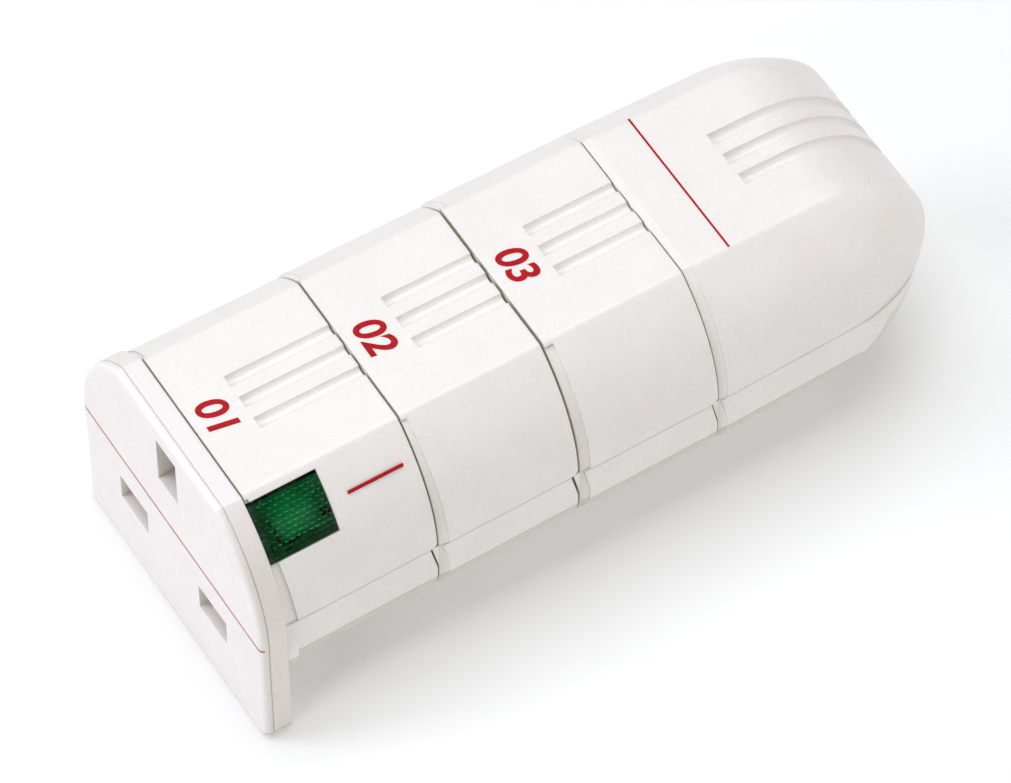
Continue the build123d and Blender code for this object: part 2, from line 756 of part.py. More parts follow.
def on_cap_crest(edge, crest_y, crest_z):
    """Whether an edge belongs to the cap's crest, along its top or round its end."""
    middle = edge @ 0.5
    along = edge % 0.5
    on_line = abs(abs(middle.Y) - crest_y) < cap_crest_radius / 2
    return on_line and middle.Z > axis_height + wall and abs(along.Y) < 0.3 and edge.length > wall


def make_end_cap():
    """Upper and lower shell of the end cap, open at the front, with flutes that run over its end."""
    shell = cap_form(0) - cap_form(wall)
    upper = above(shell)
    lower = below(shell)
    x_start = cap_front + cap_flute_start
    z_start = cap_top_height - cap_flute_start * tan(radians(cap_draft))
    z_turn = axis_height + cap_nose_radius
    run = hypot(cap_turn_x - x_start, z_start - z_turn)
    for y in (-flute_pitch, 0, flute_pitch):
        slope = Plane(origin=(x_start, y, z_start), z_dir=(cap_turn_x - x_start, 0, z_turn - z_start))
        straight = slope * Pos(0, 0, run / 2) * Cylinder(flute_radius, run)
        ring = Plane(origin=(cap_turn_x, y, z_turn), z_dir=(1, 0, 0)) * Circle(flute_radius)
        bend = revolve(ring, axis=Axis((cap_turn_x, y, axis_height), (0, 1, 0)), revolution_arc=90)
        knee = Pos(cap_turn_x, y, z_turn) * Sphere(flute_radius)
        upper = upper - straight - bend - knee
    upper -= upper_band(cap_front, cap_band, cap_top_height + wall, cap_radius, cap_top_height)
    line_room = outside(cap_front, cap_turn_x, parting_line, cap_radius, cap_top_height, cap_draft)
    lower -= line_room & block(cap_front, cap_turn_x, -big, big, axis_height - parting_line, axis_height)
    lower -= lower_band(cap_front, cap_band, cap_radius, cap_top_height)
    tongue = key_tongue(blade_back, cap_front, cap_band, cap_radius, cap_top_height)
    lower += tongue - slab(cap_front - 2 * key_depth, cap_front + 2 * front_wall, wall, cap_radius,
                           cap_top_height)
    return upper, lower


def save(name, *solids):
    """Write one piece, or a group of like pieces, with the origin at the middle of the base."""
    shape = solids[0] if len(solids) == 1 else Compound(children=list(solids))
    export_step(Pos(-total_length / 2, 0, 0) * shape, f"parts/{name}.step")


def pair(shape):
    """A far-side piece and its copy on the near side, as two solids."""
    return shape, mirror(shape, Plane.XZ)


def build():
    """Make every piece and write it out."""
    os.makedirs("parts", exist_ok=True)
    save("face_plate", make_face_plate())
    upper, lower, screws = make_socket_shells()
    save("socket_upper_shell", upper)
    save("socket_lower_shell", lower)
    save("socket_screws", *screws)
    save("lamp_lens", make_lamp_lens())
    save("neon_lamp", make_neon_lamp())
    save("shutter", make_shutter())
    save("shutter_spring", make_shutter_spring())
    save("contact_carrier", make_contact_carrier())
    save("live_contact", live_clip(-1))
    save("neutral_contact", live_clip(1))
    save("earth_contact", make_earth_contact())
    board = cavity_slab(board_front, board_front + board_thickness) & block(0, big, -big, big, board_low, big)
    save("circuit_board", board)
    save("varistors", *make_varistors())
    save("lamp_resistor", axial_part(-axial_y, axial_z, resistor_radius, resistor_length))
    save("thermal_fuse", axial_part(axial_y, axial_z, fuse_radius, fuse_length))
    collar = rod(board_front + board_thickness + close, socket_back - rear_wall, round_pitch / 2, axis_height,
                 thick_pin_radius + collar_extra)
    thick_pin = round_pin(live_back, socket_back + round_pin_reach, thick_pin_radius) + collar
    save("thick_round_pins", *pair(thick_pin))

    upper, lower, screws = make_middle_module()
    save("middle_upper_shell", upper)
    save("middle_lower_shell", lower)
    save("middle_screws", *screws)
    tube_front = middle_front + front_wall + running
    tube_back = middle_back - rear_wall - thin_collar
    save("middle_contact_tubes", *pair(contact_tube(tube_front, tube_back, thick_pin_radius + running)))
    collar = rod(tube_back, middle_back - rear_wall, round_pitch / 2, axis_height,
                 thick_pin_radius + tube_wall)
    thin_pin = round_pin(tube_back, middle_back + round_pin_reach, thin_pin_radius) + collar
    save("thin_round_pins", *pair(thin_pin))

    upper, lower, screws = make_blade_module()
    save("blade_module_upper_shell", upper)
    save("blade_module_lower_shell", lower)
    save("blade_module_screws", *screws)
    tube_front = blade_front + front_wall + running
    tube_back = flange_front - clearance
    tube = contact_tube(tube_front, tube_back, thin_pin_radius + running)
    save("blade_module_contact_tubes", *pair(tube))
    leaf = block(flange_front, flange_front + flange_thickness, -leaf_thickness / 2, leaf_thickness / 2,
                 axis_height - leaf_height / 2, axis_height + leaf_height / 2)
    save("detent_leaf", leaf)
    for side, name in ((1, "left"), (-1, "right")):
        blade, turret = swivel_blade(side)
        save(f"{name}_blade", blade)
        save(f"{name}_turret", turret)

    upper, lower = make_end_cap()
    save("cap_upper_shell", upper)
    save("cap_lower_shell", lower)


build()
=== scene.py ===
import json
import math

import bmesh
import bpy
from mathutils import Matrix, Vector


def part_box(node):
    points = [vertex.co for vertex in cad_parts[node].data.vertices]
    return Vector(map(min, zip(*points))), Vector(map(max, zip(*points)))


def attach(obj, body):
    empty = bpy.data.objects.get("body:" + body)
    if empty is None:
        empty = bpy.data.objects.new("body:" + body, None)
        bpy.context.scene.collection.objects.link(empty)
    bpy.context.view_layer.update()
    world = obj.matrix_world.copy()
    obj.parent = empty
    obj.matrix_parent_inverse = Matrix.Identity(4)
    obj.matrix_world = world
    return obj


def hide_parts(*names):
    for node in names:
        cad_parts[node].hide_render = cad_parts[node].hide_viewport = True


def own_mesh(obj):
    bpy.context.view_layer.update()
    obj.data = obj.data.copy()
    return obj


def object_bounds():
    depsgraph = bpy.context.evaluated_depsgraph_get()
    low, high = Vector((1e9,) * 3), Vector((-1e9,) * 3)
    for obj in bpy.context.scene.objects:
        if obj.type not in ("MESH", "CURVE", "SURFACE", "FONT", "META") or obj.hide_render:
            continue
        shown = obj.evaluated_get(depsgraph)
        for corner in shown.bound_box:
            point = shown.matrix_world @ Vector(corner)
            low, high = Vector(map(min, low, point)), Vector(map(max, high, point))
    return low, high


# The looks of a stacked travel adapter. X runs from the socket face back to the end cap, Z is up. Sizes
# are in millimetres from the socket face, and mm() turns them into the frame's metres.

MM = 0.001

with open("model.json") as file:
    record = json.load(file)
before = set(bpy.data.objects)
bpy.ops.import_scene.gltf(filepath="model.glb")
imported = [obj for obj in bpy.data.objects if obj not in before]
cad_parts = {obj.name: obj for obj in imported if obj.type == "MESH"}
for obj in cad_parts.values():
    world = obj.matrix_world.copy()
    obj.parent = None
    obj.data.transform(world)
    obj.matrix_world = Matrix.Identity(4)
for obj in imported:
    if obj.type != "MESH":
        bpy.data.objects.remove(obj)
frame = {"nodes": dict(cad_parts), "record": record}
cad_low, cad_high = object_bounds()
nodes = frame["nodes"]

# The stack
half_length = (cad_high.x - cad_low.x) / 2 / MM
axis_height = 25.0
shoulder_radius = 24.05
top_height = 44.904
draft = 0.6
cap_draft = 1.4
module_fronts = {"socket_unit": 4.25, "middle_module": 29.9, "blade_module": 53.4}
cap_front = 76.82
cap_top_height = 44.797

# Prints: numerals on the tops, stripes on the cap and the socket face, a mark beside the lens
ink_thickness = 0.04
ink_sunk = 0.3
numeral_height = 4.4
numeral_share = 0.69
numeral_bold = 0.034
numeral_slant = 0.18
numeral_from_front = 3.9
cap_stripe_x = 84.7
cap_stripe_half = 13.3
stripe_width = 0.32
face_stripe_height = 23.3
face_stripe_half = 25.3
face_flat_half = 24.2
plate_edge_radius = 0.9
mark_angle = 40.3
mark_from = 18.6
mark_length = 9.0
mark_width = 0.55

# The lamp lens: its window in degrees, its sizes, and the mesh steps of its skin and of each cell of its bed
window_low = 29.1
window_high = 52.6
lens_front = 4.55
lens_back = 15.58
lens_margin = 0.12
lens_skin = 0.1
lens_depth = 1.5
skin_steps = (4, 24)
bed_steps = 4

# Its ridges, on a grid of columns from the face plate and rows from below, coloured as painted highlights.
# The sink and rise are in millimetres, the rest in columns and rows: where a ridge sits in its cell, its
# reach and width with what scatter adds, what the dim rim leaves out or narrows, and the brightest row of
# painted highlights in front of the lamp
prism_columns = 11
prism_rows = 12
prism_sink = 0.3
prism_rise = 0.12
prism_reach = 0.3
prism_width = 0.19
prism_margin = 0.05
prism_tilt = 0.1
ridge_start = 0.3
ridge_half_row = 0.62
ridge_stagger = 0.42
ridge_scatter = 0.12
reach_least, reach_scatter = 0.7, 0.5
width_least, width_scatter = 0.3, 0.3
dim_left_out = 0.3
dim_narrower = 0.8
spark_low, spark_high = 2.0, 3.0
spark_from, spark_slope, spark_pivot = 1.8, 0.06, 2

# The fine braces between the ridges: how many ridges have one, and how far it runs from its ridge's end
brace_width = 0.05
brace_share = 0.75
brace_start = (0.05, 0.05)
brace_end = (0.3, 0.62)
brace_room = 0.35

# Painted shadows in the lens's bed, in the same columns and rows: a tall shadow, a flat one, a patch at the
# end, a slit, a dash, and the shadow along the top; then how far the dim rim reaches, and the ragged edges
tall_low, tall_high = 2.4, 8.2
tall_column, tall_lean = 2.95, 0.13
tall_width, tall_taper = 0.62, 0.07
flat_low, flat_high = 2.0, 7.6
flat_row, flat_lean = 2.45, 0.02
flat_width, flat_taper = 0.5, 0.045
end_column, end_low, end_high = 9.55, 3.3, 5.3
slit_column, slit_width, slit_low, slit_high = 1.15, 0.12, 1.6, 3.4
dash_low, dash_high, dash_row, dash_width = 2.8, 3.7, 1.0, 0.15
top_shadow = 0.55
rim_columns, rim_rows = 1.6, 2.3
ragged_steps = 3
ragged_width = 0.5

# The shutter's return spring: its wire and turns, and the steps in a turn and the sides of the wire in its
# mesh
spring_wire = 0.36
spring_turns = 5
spring_steps = 28
spring_sides = 10

# Painted shade on the white mouldings: in the seams, on the underside, on the socket plate's rim, and in
# each module's recessed band, where it is darkest at the seam and clears towards the back of the band. The
# fade, the turns and the level say how a surface faces where the band, the underside or the rim ends.
seam_shade = (0.95, 0.945, 0.69)
underside_shade = (0.76, 0.75, 0.695)
plate_rim_shade = (0.93, 0.925, 0.88)
band_shadow = (0.84, 0.83, 0.79)
band_lengths = {module_fronts["middle_module"]: 1.6, module_fronts["blade_module"]: 1.65, cap_front: 1.4}
band_lead = 0.1
band_fade = (0.3, 0.85)
underside_turn = (-0.15, -0.02)
rim_turn = (-0.7, -0.2)
rim_level = (0.5, 0.9)
untinted = (1.0, 1.0, 1.0)

# Their surface: slow mottling, rare specks and the fine spark-eroded grain, each scale per metre
mottle_scale = 140.0
fleck_scale = 2600.0
fleck_colour = (0.55, 0.53, 0.5)
fleck_share = 0.8
# The next two: how far the occlusion reaches, in millimetres, for the painted seam shade, and the occlusion
# over which that shade fades out
seam_reach = 1.1
seam_open = (0.04, 0.36)
sheen_scale = 420.0
grain_shade = (0.94, 0.94, 0.94)
grain_scale = 3600.0

# Light colours: the high lights a little cooler than the low ones
cool_light = (0.98, 1.0, 1.035)
warm_light = (1.03, 1.0, 0.95)

# Camera, found from the photograph: where it looks from, and how far off centre the stack sits
azimuth = -31.4404
elevation = 55.3199
roll = -0.3976
distance = 1000.0
target = (60.0, 0.0, 20.0)
off_right = 3.7285
off_up = 5.0577
focal_px = 6927.72
image_width_px = 1011
sensor_width = 36.0


def mm(x, y, z):
    """A point given in millimetres from the socket face, in the frame's metres."""
    return Vector(((x - half_length) * MM, y * MM, z * MM))


def on_shoulder(x, angle, radius=shoulder_radius):
    """Point on the near shoulder, at an angle above the horizontal, in the frame's metres."""
    a = math.radians(angle)
    return mm(x, -radius * math.cos(a), axis_height + radius * math.sin(a))


# Materials


class Nodes:
    """A new material's node tree, with short calls to add and join nodes."""

    def __init__(self, name):
        self.material = bpy.data.materials.new(name)
        self.material.use_nodes = True
        self.tree = self.material.node_tree
        self.shader = self.tree.nodes["Principled BSDF"]
        self.place = self.tree.nodes.new("ShaderNodeTexCoord").outputs["Object"]

    def add(self, kind, **values):
        """A node with the given attributes."""
        node = self.tree.nodes.new(kind)
        for key, value in values.items():
            setattr(node, key, value)
        return node

    def join(self, out, into):
        """Link an output to an input."""
        self.tree.links.new(out, into)

    def noise(self, scale, detail=3.0, roughness=0.55, squeeze=(1, 1, 1)):
        """Noise over the object, its grain set by scale per metre and stretched by squeeze."""
        mapping = self.add("ShaderNodeMapping")
        mapping.inputs["Scale"].default_value = squeeze
        self.join(self.place, mapping.inputs["Vector"])
        node = self.add("ShaderNodeTexNoise")
        node.inputs["Scale"].default_value = scale
        node.inputs["Detail"].default_value = detail
        node.inputs["Roughness"].default_value = roughness
        self.join(mapping.outputs["Vector"], node.inputs["Vector"])
        return node.outputs["Fac"]

    def ramp(self, factor, *stops):
        """Colour ramp through (position, colour) stops."""
        node = self.add("ShaderNodeValToRGB")
        while len(node.color_ramp.elements) < len(stops):
            node.color_ramp.elements.new(0.5)
        for element, (position, colour) in zip(node.color_ramp.elements, stops):
            element.position = position
            element.color = (*colour, 1.0)
        self.join(factor, node.inputs["Fac"])
        return node.outputs["Color"]

    def spread(self, factor, low, high):
        """The factor moved from its 0.3 to 0.7 range to one between two values."""
        return self.between(factor, 0.3, 0.7, low, high)

    def bump(self, height, depth_mm, under=None):
        """Bump of a real depth, laid over another normal if one is given."""
        node = self.add("ShaderNodeBump")
        node.inputs["Distance"].default_value = depth_mm * MM
        self.join(height, node.inputs["Height"])
        if under is not None:
            self.join(under, node.inputs["Normal"])
        return node.outputs["Normal"]

    def times(self, colour, tint, share=1.0):
        """A colour multiplied by a tint."""
        mix = self.add("ShaderNodeMix", data_type="RGBA", blend_type="MULTIPLY")
        mix.inputs["Factor"].default_value = share
        self.join(colour, mix.inputs["A"])
        self.join(tint, mix.inputs["B"])
        return mix.outputs["Result"]

    def between(self, value, low, high, start=0.0, end=1.0):
        """A value's place from low to high, as a share from start to end, held at the ends."""
        node = self.add("ShaderNodeMapRange")
        for name, number in (("From Min", low), ("From Max", high), ("To Min", start), ("To Max", end)):
            node.inputs[name].default_value = number
        self.join(value, node.inputs["Value"])
        return node.outputs["Result"]

    def product(self, a, b):
        """Two values multiplied."""
        node = self.add("ShaderNodeMath", operation="MULTIPLY")
        self.join(a, node.inputs[0])
        self.join(b, node.inputs[1])
        return node.outputs["Value"]

    def most(self, values):
        """The largest of some values."""
        found = values[0]
        for value in values[1:]:
            node = self.add("ShaderNodeMath", operation="MAXIMUM")
            self.join(found, node.inputs[0])
            self.join(value, node.inputs[1])
            found = node.outputs["Value"]
        return found

    def rounded(self, radius_mm):
        """Normal that softens sharp edges by a small radius."""
        node = self.add("ShaderNodeBevel", samples=6)
        node.inputs["Radius"].default_value = radius_mm * MM
        return node.outputs["Normal"]


def band_shade(m, upward):
    """Painted shadow in the recessed bands at the modules' front edges, on their shoulders and not on their
    tops.
    """
    place = m.add("ShaderNodeSeparateXYZ")
    m.join(m.place, place.inputs["Vector"])
    shares = []
    for front, length in band_lengths.items():
        start, end = ((x - half_length) * MM for x in (front, front + length))
        rise = m.between(place.outputs["X"], start - band_lead * MM, start - band_lead * MM / 2)
        fall = m.between(place.outputs["X"], start, end, 1.0, 0.0)
        shares.append(m.product(rise, fall))
    shoulder = m.between(upward, *band_fade, 1.0, 0.0)
    return m.ramp(m.product(m.most(shares), shoulder), (0.0, untinted), (1.0, band_shadow))


def moulded_plastic(name, light, dark, roughness=0.38, edge=0.18, grain_mm=0.008, bands=False,
                    rim_shade=None):
    """Moulded plastic: soft edges, fine grain, faint mottling, specks, and painted shade down in the seams
    and on the underside.
    """
    m = Nodes(name)
    colour = m.ramp(m.noise(mottle_scale, detail=4.0), (0.35, dark), (0.65, light))
    fleck = m.ramp(m.noise(fleck_scale, detail=2.0), (0.0, fleck_colour), (0.255, untinted))
    grain = m.noise(grain_scale, detail=2.0)
    colour = m.times(colour, m.ramp(grain, (0.36, grain_shade), (0.6, untinted)))
    # Painted shade in seams and creases: a yellowish darkening where the occlusion is deep
    crevice = m.add("ShaderNodeAmbientOcclusion", samples=8)
    crevice.inputs["Distance"].default_value = seam_reach * MM
    painted_seam_shade = m.ramp(crevice.outputs["AO"], (seam_open[0], seam_shade), (seam_open[1], untinted))
    facing = m.add("ShaderNodeSeparateXYZ")
    m.join(m.add("ShaderNodeNewGeometry").outputs["Normal"], facing.inputs["Vector"])
    # Painted shade: faces that turn downwards are darker
    under = m.ramp(m.between(facing.outputs["Z"], *underside_turn), (0.0, underside_shade), (1.0, untinted))
    colour = m.times(m.times(m.times(colour, fleck, fleck_share), painted_seam_shade), under)
    if bands:
        # Painted shadow in the recessed bands
        colour = m.times(colour, band_shade(m, facing.outputs["Z"]))
    if rim_shade is not None:
        # Painted shade on the plate's rim and sides: faces that turn from the front and are not upward are
        # darker
        aside = m.between(facing.outputs["X"], *rim_turn)
        level = m.between(facing.outputs["Z"], *rim_level, 1.0, 0.0)
        colour = m.times(colour, m.ramp(m.product(aside, level), (0.0, untinted), (1.0, rim_shade)))
    m.join(colour, m.shader.inputs["Base Color"])
    m.join(m.spread(m.noise(sheen_scale), roughness - 0.05, roughness + 0.07), m.shader.inputs["Roughness"])
    m.join(m.bump(grain, grain_mm, under=m.rounded(edge)), m.shader.inputs["Normal"])
    m.shader.inputs["IOR"].default_value = 1.53
    m.shader.inputs["Subsurface Weight"].default_value = 0.35
    m.shader.inputs["Subsurface Radius"].default_value = (1.0, 0.85, 0.7)
    m.shader.inputs["Subsurface Scale"].default_value = 1.2 * MM
    return m.material


def metal(name, light, dark, roughness=0.24, streak=(1, 12, 12), scale=900.0, bump_mm=0.004):
    """Drawn or stamped metal, streaked along one direction."""
    m = Nodes(name)
    brushed = m.noise(scale, detail=5.0, squeeze=streak)
    m.join(m.ramp(brushed, (0.3, dark), (0.7, light)), m.shader.inputs["Base Color"])
    m.join(m.spread(m.noise(260.0), roughness - 0.06, roughness + 0.12), m.shader.inputs["Roughness"])
    m.join(m.bump(brushed, bump_mm, under=m.rounded(0.12)), m.shader.inputs["Normal"])
    m.shader.inputs["Metallic"].default_value = 1.0
    return m.material


def ink(name, light, dark):
    """Screen-printed ink, slightly uneven."""
    m = Nodes(name)
    m.join(m.ramp(m.noise(1700.0, detail=4.0), (0.35, dark), (0.62, light)), m.shader.inputs["Base Color"])
    m.join(m.spread(m.noise(900.0), 0.3, 0.5), m.shader.inputs["Roughness"])
    m.join(m.bump(m.noise(4000.0), 0.01), m.shader.inputs["Normal"])
    m.shader.inputs["Specular IOR Level"].default_value = 0.12
    return m.material


def glassy(name, colour, roughness, ior, transmission, bump_mm=0.002):
    """Clear or tinted see-through plastic or glass with faint flow marks."""
    m = Nodes(name)
    flow = m.noise(350.0, detail=2.0)
    faint = tuple(c * 0.93 for c in colour)
    m.join(m.ramp(flow, (0.3, faint), (0.7, colour)), m.shader.inputs["Base Color"])
    m.join(m.spread(flow, roughness, roughness * 1.6), m.shader.inputs["Roughness"])
    m.join(m.bump(flow, bump_mm), m.shader.inputs["Normal"])
    m.shader.inputs["IOR"].default_value = ior
    m.shader.inputs["Transmission Weight"].default_value = transmission
    return m.material


def lens_colour(name, bright, dim, reach_low=1.0, reach_high=6.2, roughness=0.3):
    """Green of the ribbed lens block with a painted pool of light: brightest over the lamp, dimmer towards
    its rim, slightly uneven.
    """
    m = Nodes(name)
    offset = m.add("ShaderNodeVectorMath", operation="DISTANCE")
    offset.inputs[1].default_value = on_shoulder(lens_front + 0.5 * (lens_back - lens_front),
                                                 (window_low + window_high) / 2 + 1.0)
    m.join(m.place, offset.inputs[0])
    reach = m.add("ShaderNodeMapRange")
    reach.inputs["From Min"].default_value = reach_low * MM
    reach.inputs["From Max"].default_value = reach_high * MM
    m.join(offset.outputs["Value"], reach.inputs["Value"])
    wobble = m.add("ShaderNodeMath", operation="MULTIPLY_ADD")
    wobble.inputs[1].default_value = 0.9
    m.join(m.noise(900.0, detail=3.0), wobble.inputs[0])
    m.join(reach.outputs["Result"], wobble.inputs[2])
    m.join(m.ramp(wobble.outputs["Value"], (0.3, bright), (1.0, dim)), m.shader.inputs["Base Color"])
    m.join(m.spread(m.noise(1500.0), roughness, roughness + 0.15), m.shader.inputs["Roughness"])
    m.shader.inputs["Specular IOR Level"].default_value = 0.08
    return m.material


def board_green(name):
    """Solder mask over faint copper tracks."""
    m = Nodes(name)
    wave = m.add("ShaderNodeTexWave", wave_type="BANDS", bands_direction="Z")
    wave.inputs["Scale"].default_value = 130.0
    wave.inputs["Distortion"].default_value = 2.5
    m.join(m.place, wave.inputs["Vector"])
    colour = m.ramp(wave.outputs["Fac"], (0.42, (0.010, 0.085, 0.030)), (0.5, (0.025, 0.16, 0.055)))
    m.join(colour, m.shader.inputs["Base Color"])
    m.join(m.spread(m.noise(800.0), 0.3, 0.45), m.shader.inputs["Roughness"])
    m.join(m.bump(wave.outputs["Fac"], 0.03), m.shader.inputs["Normal"])
    return m.material


def pale_floor(name):
    """Opal acrylic table, faintly lit from below."""
    m = Nodes(name)
    m.join(m.ramp(m.noise(30.0), (0.3, (0.69, 0.69, 0.69)), (0.7, (0.71, 0.71, 0.71))),
           m.shader.inputs["Base Color"])
    m.join(m.spread(m.noise(60.0), 0.7, 0.8), m.shader.inputs["Roughness"])
    m.shader.inputs["Specular IOR Level"].default_value = 0.1
    m.shader.inputs["Emission Color"].default_value = (1.0, 1.0, 1.0, 1.0)
    m.shader.inputs["Emission Strength"].default_value = 0.27
    return m.material


looks = {
    "body_white": moulded_plastic("body_white", (0.905, 0.863, 0.836), (0.88, 0.838, 0.81), bands=True),
    "face_white": moulded_plastic("face_white", (0.893, 0.845, 0.842), (0.87, 0.822, 0.818), edge=0.2,
                                  rim_shade=plate_rim_shade),
    "shutter_white": moulded_plastic("shutter_white", (0.83, 0.82, 0.79), (0.80, 0.79, 0.76), edge=0.15),
    "turret_white": moulded_plastic("turret_white", (0.80, 0.79, 0.77), (0.77, 0.76, 0.74), edge=0.15),
    "carrier_black": moulded_plastic("carrier_black", (0.045, 0.045, 0.05), (0.03, 0.03, 0.033), 0.5, 0.12),
    "varistor_blue": moulded_plastic("varistor_blue", (0.04, 0.12, 0.42), (0.03, 0.09, 0.34), 0.25, 0.1),
    "resistor_tan": moulded_plastic("resistor_tan", (0.55, 0.40, 0.24), (0.48, 0.34, 0.20), 0.25, 0.1),
    "lens_clear": glassy("lens_clear", (0.72, 0.96, 0.82), 0.03, 1.12, 1.0),
    "lamp_glass": glassy("lamp_glass", (0.94, 0.92, 0.88), 0.02, 1.5, 0.9),
    # The lens block's looks are painted light: a bright pool over the lamp, painted shadow, and painted
    # highlights on its ridges
    "lens_field": lens_colour("lens_field", (0.006, 0.175, 0.058), (0.006, 0.075, 0.028), 1.6, 6.0),
    "lens_rim": lens_colour("lens_rim", (0.008, 0.068, 0.022), (0.007, 0.042, 0.014)),
    "lens_shadow": lens_colour("lens_shadow", (0.0016, 0.006, 0.003), (0.0008, 0.002, 0.001)),
    "lens_brace": lens_colour("lens_brace", (0.014, 0.33, 0.10), (0.010, 0.16, 0.05), 0.0, 8.0),
    "lens_glint": lens_colour("lens_glint", (0.028, 0.60, 0.19), (0.014, 0.32, 0.10), 0.0, 8.0),
    "lens_spark": lens_colour("lens_spark", (0.05, 0.85, 0.27), (0.02, 0.45, 0.14), 2.0, 9.0),
    "contact_brass": metal("contact_brass", (0.86, 0.66, 0.33), (0.72, 0.52, 0.23)),
    "pin_metal": metal("pin_metal", (0.88, 0.74, 0.46), (0.78, 0.62, 0.35), 0.16, (12, 1, 1)),
    "blade_metal": metal("blade_metal", (0.87, 0.70, 0.40), (0.75, 0.57, 0.29), 0.2, (1, 12, 12)),
    "spring_steel": metal("spring_steel", (0.66, 0.66, 0.66), (0.5, 0.5, 0.5)),
    "screw_steel": metal("screw_steel", (0.62, 0.62, 0.62), (0.46, 0.46, 0.47), 0.3, (6, 6, 1)),
    "fuse_silver": metal("fuse_silver", (0.74, 0.74, 0.72), (0.6, 0.6, 0.58), 0.3),
    "board_green": board_green("board_green"),
    "ink_red": ink("ink_red", (0.50, 0.008, 0.014), (0.38, 0.005, 0.010)),
    "floor": pale_floor("floor"),
}


# Pieces


def new_piece(name, mesh, look, body):
    """A mesh made into an object with its material, riding on a body."""
    piece = bpy.data.objects.new(name, mesh)
    bpy.context.scene.collection.objects.link(piece)
    if look is not None:
        mesh.materials.append(looks[look])
    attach(piece, body)
    return piece


def mesh_of(name, builder, smooth=False):
    """A mesh made from a bmesh that builder fills."""
    work = bmesh.new()
    builder(work)
    bmesh.ops.recalc_face_normals(work, faces=work.faces)
    mesh = bpy.data.meshes.new(name)
    work.to_mesh(mesh)
    work.free()
    for face in mesh.polygons:
        face.use_smooth = smooth
    return mesh


def grid_faces(work, rows):
    """Quads between rows of vertices."""
    for low, high in zip(rows, rows[1:]):
        for i in range(len(low) - 1):
            work.faces.new((low[i], low[i + 1], high[i + 1], high[i]))


def tile(work, outer, inner, columns, rows):
    """Closed curved tile: outer(u, v) and inner(u, v) give its two skins for u and v from 0 to 1."""
    def skin(point):
        return [[work.verts.new(point(i / columns, j / rows)) for i in range(columns + 1)]
                for j in range(rows + 1)]
    out, back = skin(outer), skin(inner)
    grid_faces(work, out)
    grid_faces(work, back)
    rims = [(out[0], back[0]), (out[-1], back[-1]),
            ([r[0] for r in out], [r[0] for r in back]), ([r[-1] for r in out], [r[-1] for r in back])]
    for a, b in rims:
        grid_faces(work, [a, b])


def lens_point(u, v, radius):
    """Point of the lens at shares u of its length and v of its arc, at a radius about its axis."""
    slack = math.degrees(lens_margin / shoulder_radius)
    x = lens_front + u * (lens_back - lens_front)
    low, high = window_low + slack, window_high - slack
    return on_shoulder(x, low + v * (high - low), radius - math.tan(math.radians(draft)) * (x - lens_front))


def chance(i, j, turn=0):
    """Fixed scatter between 0 and 1 for a cell."""
    return math.sin(12.9898 * i + 78.233 * j + 37.719 * turn) * 43758.5453 % 1.0


def bed_look(i, j):
    """Which look the lens block has i columns from the face plate and j rows from below."""
    cell = math.floor(ragged_steps * i), math.floor(ragged_steps * j)
    ragged = ragged_width * chance(*cell) - ragged_width / 2
    tall_half = tall_width - tall_taper * j + ragged
    flat_half = flat_width - flat_taper * i + ragged
    tall_shadow = tall_low < j < tall_high and abs(i - tall_column + tall_lean * j) < tall_half
    flat_shadow = flat_low < i < flat_high and abs(j - flat_row - flat_lean * i) < flat_half
    end_patch = i > end_column and end_low < j + ragged < end_high
    slit = abs(i - slit_column) < slit_width and slit_low < j < slit_high
    dash = dash_low < i < dash_high and abs(j - dash_row) < dash_width
    # Painted shadow falls on these places
    if tall_shadow or flat_shadow or end_patch or slit or dash or j > prism_rows - top_shadow:
        return "lens_shadow"
    if i + 2 * ragged < rim_columns or j + 2 * ragged < rim_rows:
        return "lens_rim"
    return "lens_field"


def lens_ridge(work, start, end, thick, rise, index):
    """Low three-sided ridge on the lens block between two places, given in columns and rows."""
    bed = shoulder_radius - prism_sink
    length = lens_back - lens_front
    arc = math.radians(window_high - window_low) * shoulder_radius
    cell = Vector((length / prism_columns, arc / prism_rows))
    way = Vector(((end[0] - start[0]) * cell.x, (end[1] - start[1]) * cell.y)).normalized()
    aside = Vector((-way.y * thick / cell.x, way.x * thick / cell.y))

    def spot(place, share, lift):
        u, v = place[0] + share * aside.x, place[1] + share * aside.y
        return work.verts.new(lens_point(u / prism_columns, v / prism_rows, bed + lift))
    a, b, c, d = spot(start, -1, 0), spot(end, -1, 0), spot(end, 1, 0), spot(start, 1, 0)
    p, q = spot(start, 0, rise), spot(end, 0, rise)
    for corners in ((a, b, q, p), (c, d, p, q), (b, c, q), (d, a, p), (a, d, c, b)):
        work.faces.new(corners).material_index = index


